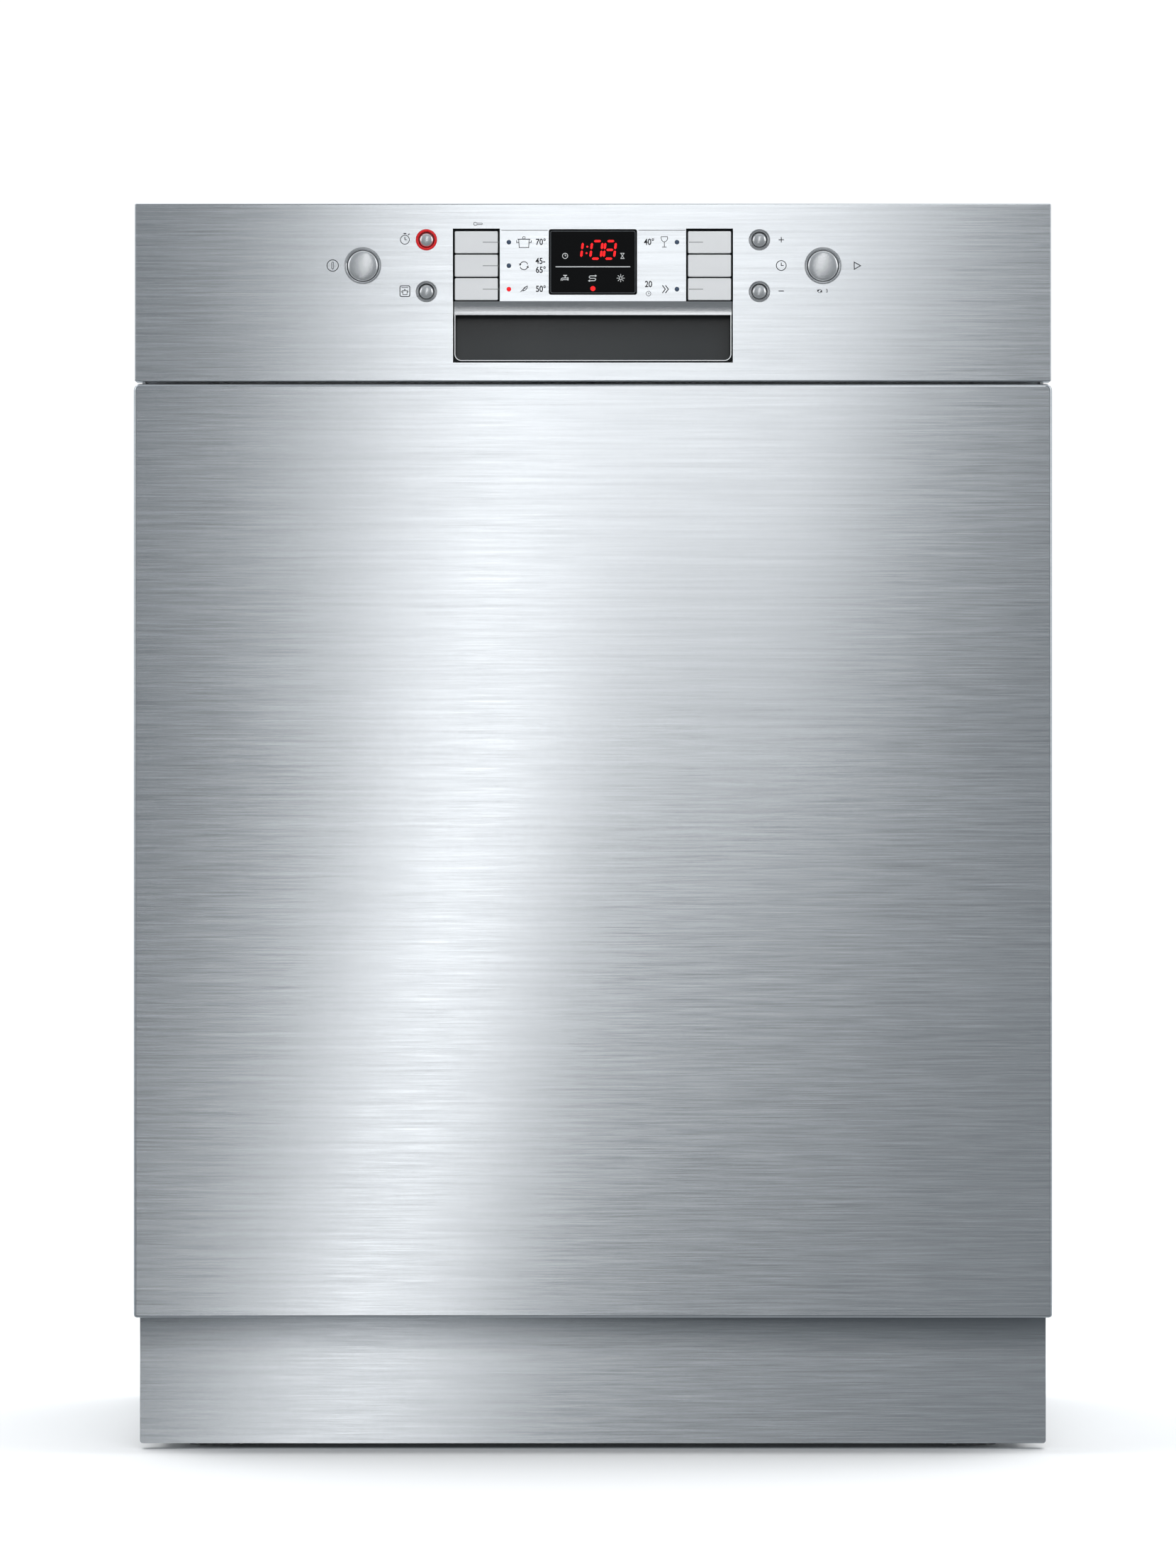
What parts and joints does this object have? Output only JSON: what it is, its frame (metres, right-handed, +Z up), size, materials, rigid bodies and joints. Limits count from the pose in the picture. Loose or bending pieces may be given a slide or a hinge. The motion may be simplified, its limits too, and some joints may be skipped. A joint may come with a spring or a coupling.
{
  "type": "built in dishwasher",
  "caption": "Built-under dishwasher with brushed steel door and fascia, recessed grip, push buttons, display, sliding baskets and spray arms behind a drop-down door.",
  "frame": {"origin": "on the floor, under the middle of the machine's bounding box", "axes": "+Z up, the door's front faces -Y, +X to the right seen from the front"},
  "size_m": [0.598, 0.573, 0.815],
  "materials": {
    "brushed_steel_front": "horizontal brushed grain, satin",
    "stainless_inner": "bright cold-rolled stainless",
    "silver_trim": "satin silver trim",
    "button_metal": "fine brushed button caps",
    "key_silver": "satin silver lacquered keys",
    "dark_moulding": "gloss dark grey moulding",
    "display_glass": "black glass",
    "lens": "dark translucent light pipe",
    "grey_plastic": "satin grey polypropylene",
    "blue_grey_plastic": "satin blue-grey accents",
    "wire_nylon": "nylon-coated wire",
    "base_plastic": "moulded base tray",
    "galvanised": "galvanised sheet",
    "steel_parts": "zinc-plated steel",
    "rubber": "soft grey-black rubber",
    "felt": "grey cotton felt",
    "black_plastic": "black engineering plastic",
    "white_plastic": "natural white plastic"
  },
  "bodies": {
    "cabinet": {"base_tray": "base_plastic", "side_panel_left": "galvanised", "side_panel_right": "galvanised", "top_frame": "galvanised", "door_strike": "steel_parts", "tub_shell": "stainless_inner", "tub_floor": "stainless_inner", "door_gasket": "rubber", "insulation_blanket": "felt", "plinth_panel": "brushed_steel_front", "sump": "grey_plastic", "softener_tank": "white_plastic", "circulation_pump": "black_plastic", "drain_pump": "black_plastic", "riser_pipe": "grey_plastic", "hose_connectors": "black_plastic", "terminal_box": "black_plastic", "rail_channels": "grey_plastic"},
    "door": {"fascia_panel": "brushed_steel_front", "outer_panel": "brushed_steel_front", "inner_liner": "stainless_inner", "grip_cup": "dark_moulding", "grip_strip": "silver_trim", "display_window": "display_glass", "control_module": "black_plastic", "key_frames": "dark_moulding", "button_bezels": "silver_trim", "indicator_lenses": "lens", "dispenser_body": "grey_plastic", "hinge_arms": "steel_parts"},
    "key_left_top": {"key_left_top": "key_silver"},
    "key_left_middle": {"key_left_middle": "key_silver"},
    "key_left_bottom": {"key_left_bottom": "key_silver"},
    "key_right_top": {"key_right_top": "key_silver"},
    "key_right_middle": {"key_right_middle": "key_silver"},
    "key_right_bottom": {"key_right_bottom": "key_silver"},
    "button_power": {"button_power": "button_metal"},
    "button_start": {"button_start": "button_metal"},
    "button_speed": {"button_speed": "button_metal"},
    "button_half_load": {"button_half_load": "button_metal"},
    "button_plus": {"button_plus": "button_metal"},
    "button_minus": {"button_minus": "button_metal"},
    "detergent_lid": {"detergent_lid": "grey_plastic"},
    "rinse_aid_cap": {"rinse_aid_cap": "blue_grey_plastic"},
    "door_latch": {"door_latch": "steel_parts"},
    "upper_rack": {"upper_rack": "wire_nylon"},
    "upper_rails": {"upper_rails": "steel_parts"},
    "lower_rack": {"lower_rack": "wire_nylon"},
    "wheels_front": {"wheels_front": "grey_plastic"},
    "wheels_rear": {"wheels_rear": "grey_plastic"},
    "cup_shelf_left": {"cup_shelf_left": "wire_nylon"},
    "middle_spray_arm": {"middle_spray_arm": "grey_plastic"},
    "folding_tines": {"folding_tines": "wire_nylon"},
    "cutlery_basket": {"cutlery_basket": "grey_plastic"},
    "lower_spray_arm": {"lower_spray_arm": "grey_plastic"},
    "filter_cylinder": {"filter_cylinder": "blue_grey_plastic"},
    "salt_cap": {"salt_cap": "blue_grey_plastic"},
    "foot_front_left": {"foot_front_left": "base_plastic"},
    "foot_front_right": {"foot_front_right": "base_plastic"},
    "foot_rear": {"foot_rear": "base_plastic"}
  },
  "joints": [
    {"name": "door_hinge", "type": "hinge", "parent": "cabinet", "child": "door", "pos_m": [0, -0.262, 0.1115], "axis": [1, 0, 0], "range_deg": [0, 90], "stiffness_Nm_per_rad": 17},
    {"name": "key_left_top_press", "type": "slide", "parent": "door", "child": "key_left_top", "axis": [0, 1, 0], "range_m": [0, 0.001], "stiffness_N_per_m": 1500},
    {"name": "key_left_middle_press", "type": "slide", "parent": "door", "child": "key_left_middle", "axis": [0, 1, 0], "range_m": [0, 0.001], "stiffness_N_per_m": 1500},
    {"name": "key_left_bottom_press", "type": "slide", "parent": "door", "child": "key_left_bottom", "axis": [0, 1, 0], "range_m": [0, 0.001], "stiffness_N_per_m": 1500},
    {"name": "key_right_top_press", "type": "slide", "parent": "door", "child": "key_right_top", "axis": [0, 1, 0], "range_m": [0, 0.001], "stiffness_N_per_m": 1500},
    {"name": "key_right_middle_press", "type": "slide", "parent": "door", "child": "key_right_middle", "axis": [0, 1, 0], "range_m": [0, 0.001], "stiffness_N_per_m": 1500},
    {"name": "key_right_bottom_press", "type": "slide", "parent": "door", "child": "key_right_bottom", "axis": [0, 1, 0], "range_m": [0, 0.001], "stiffness_N_per_m": 1500},
    {"name": "button_power_press", "type": "slide", "parent": "door", "child": "button_power", "axis": [0, 1, 0], "range_m": [0, 0.001], "stiffness_N_per_m": 1500},
    {"name": "button_start_press", "type": "slide", "parent": "door", "child": "button_start", "axis": [0, 1, 0], "range_m": [0, 0.001], "stiffness_N_per_m": 1500},
    {"name": "button_speed_press", "type": "slide", "parent": "door", "child": "button_speed", "axis": [0, 1, 0], "range_m": [0, 0.001], "stiffness_N_per_m": 1500},
    {"name": "button_half_load_press", "type": "slide", "parent": "door", "child": "button_half_load", "axis": [0, 1, 0], "range_m": [0, 0.001], "stiffness_N_per_m": 1500},
    {"name": "button_plus_press", "type": "slide", "parent": "door", "child": "button_plus", "axis": [0, 1, 0], "range_m": [0, 0.001], "stiffness_N_per_m": 1500},
    {"name": "button_minus_press", "type": "slide", "parent": "door", "child": "button_minus", "axis": [0, 1, 0], "range_m": [0, 0.001], "stiffness_N_per_m": 1500},
    {"name": "detergent_lid_slide", "type": "slide", "parent": "door", "child": "detergent_lid", "axis": [-1, 0, 0], "range_m": [0, 0.064]},
    {"name": "rinse_aid_cap_twist", "type": "hinge", "parent": "door", "child": "rinse_aid_cap", "pos_m": [-0.08, -0.24, 0.5], "axis": [0, 1, 0], "range_deg": [0, 90]},
    {"name": "door_latch_tilt", "type": "hinge", "parent": "door", "child": "door_latch", "pos_m": [0, -0.25, 0.7975], "axis": [1, 0, 0], "range_deg": [0, 12], "stiffness_Nm_per_rad": 0.5},
    {"name": "upper_rack_slide", "type": "slide", "parent": "cabinet", "child": "upper_rack", "axis": [0, -1, 0], "range_m": [0, 0.505]},
    {"name": "upper_rail_slide", "type": "slide", "parent": "cabinet", "child": "upper_rails", "axis": [0, -1, 0], "range_m": [0, 0.2525]},
    {"name": "lower_rack_slide", "type": "slide", "parent": "cabinet", "child": "lower_rack", "axis": [0, -1, 0], "range_m": [0, 0.152]},
    {"name": "wheels_front_spin", "type": "hinge", "parent": "lower_rack", "child": "wheels_front", "pos_m": [0, -0.11, 0.147], "axis": [1, 0, 0], "range_deg": [0, 540]},
    {"name": "wheels_rear_spin", "type": "hinge", "parent": "lower_rack", "child": "wheels_rear", "pos_m": [0, 0.15, 0.147], "axis": [1, 0, 0], "range_deg": [0, 540]},
    {"name": "cup_shelf_fold", "type": "hinge", "parent": "upper_rack", "child": "cup_shelf_left", "pos_m": [-0.229, 0, 0.549], "axis": [0, -1, 0], "range_deg": [0, 88]},
    {"name": "middle_arm_spin", "type": "hinge", "parent": "upper_rack", "child": "middle_spray_arm", "pos_m": [0, 0, 0.436], "axis": [0, 0, 1], "continuous": true},
    {"name": "folding_tines_fold", "type": "hinge", "parent": "lower_rack", "child": "folding_tines", "pos_m": [-0.06, 0.06, 0.1835], "axis": [-1, 0, 0], "range_deg": [0, 82]},
    {"name": "cutlery_basket_lift", "type": "slide", "parent": "lower_rack", "child": "cutlery_basket", "axis": [0, 0, 1], "range_m": [0, 0.06]},
    {"name": "lower_arm_spin", "type": "hinge", "parent": "cabinet", "child": "lower_spray_arm", "pos_m": [0, 0, 0.16], "axis": [0, 0, 1], "continuous": true},
    {"name": "filter_twist", "type": "hinge", "parent": "cabinet", "child": "filter_cylinder", "pos_m": [0.041, -0.023, 0.1], "axis": [0, 0, 1], "range_deg": [0, 90]},
    {"name": "salt_cap_twist", "type": "hinge", "parent": "cabinet", "child": "salt_cap", "pos_m": [-0.165, 0.13, 0.125], "axis": [0, 0, 1], "range_deg": [0, 360]},
    {"name": "foot_front_left_height", "type": "slide", "parent": "cabinet", "child": "foot_front_left", "axis": [0, 0, -1], "range_m": [-0.008, 0.045]},
    {"name": "foot_front_right_height", "type": "slide", "parent": "cabinet", "child": "foot_front_right", "axis": [0, 0, -1], "range_m": [-0.008, 0.045]},
    {"name": "foot_rear_height", "type": "slide", "parent": "cabinet", "child": "foot_rear", "axis": [0, 0, -1], "range_m": [-0.008, 0.045]}
  ],
  "couplings": [
    {"joint": "upper_rack_slide", "follows": "door_hinge", "m_per_rad": 0.318},
    {"joint": "upper_rail_slide", "follows": "door_hinge", "m_per_rad": 0.159},
    {"joint": "lower_rack_slide", "follows": "door_hinge", "m_per_rad": 0.095},
    {"joint": "wheels_front_spin", "follows": "door_hinge", "ratio": 5.9375},
    {"joint": "wheels_rear_spin", "follows": "door_hinge", "ratio": 5.9375}
  ]
}
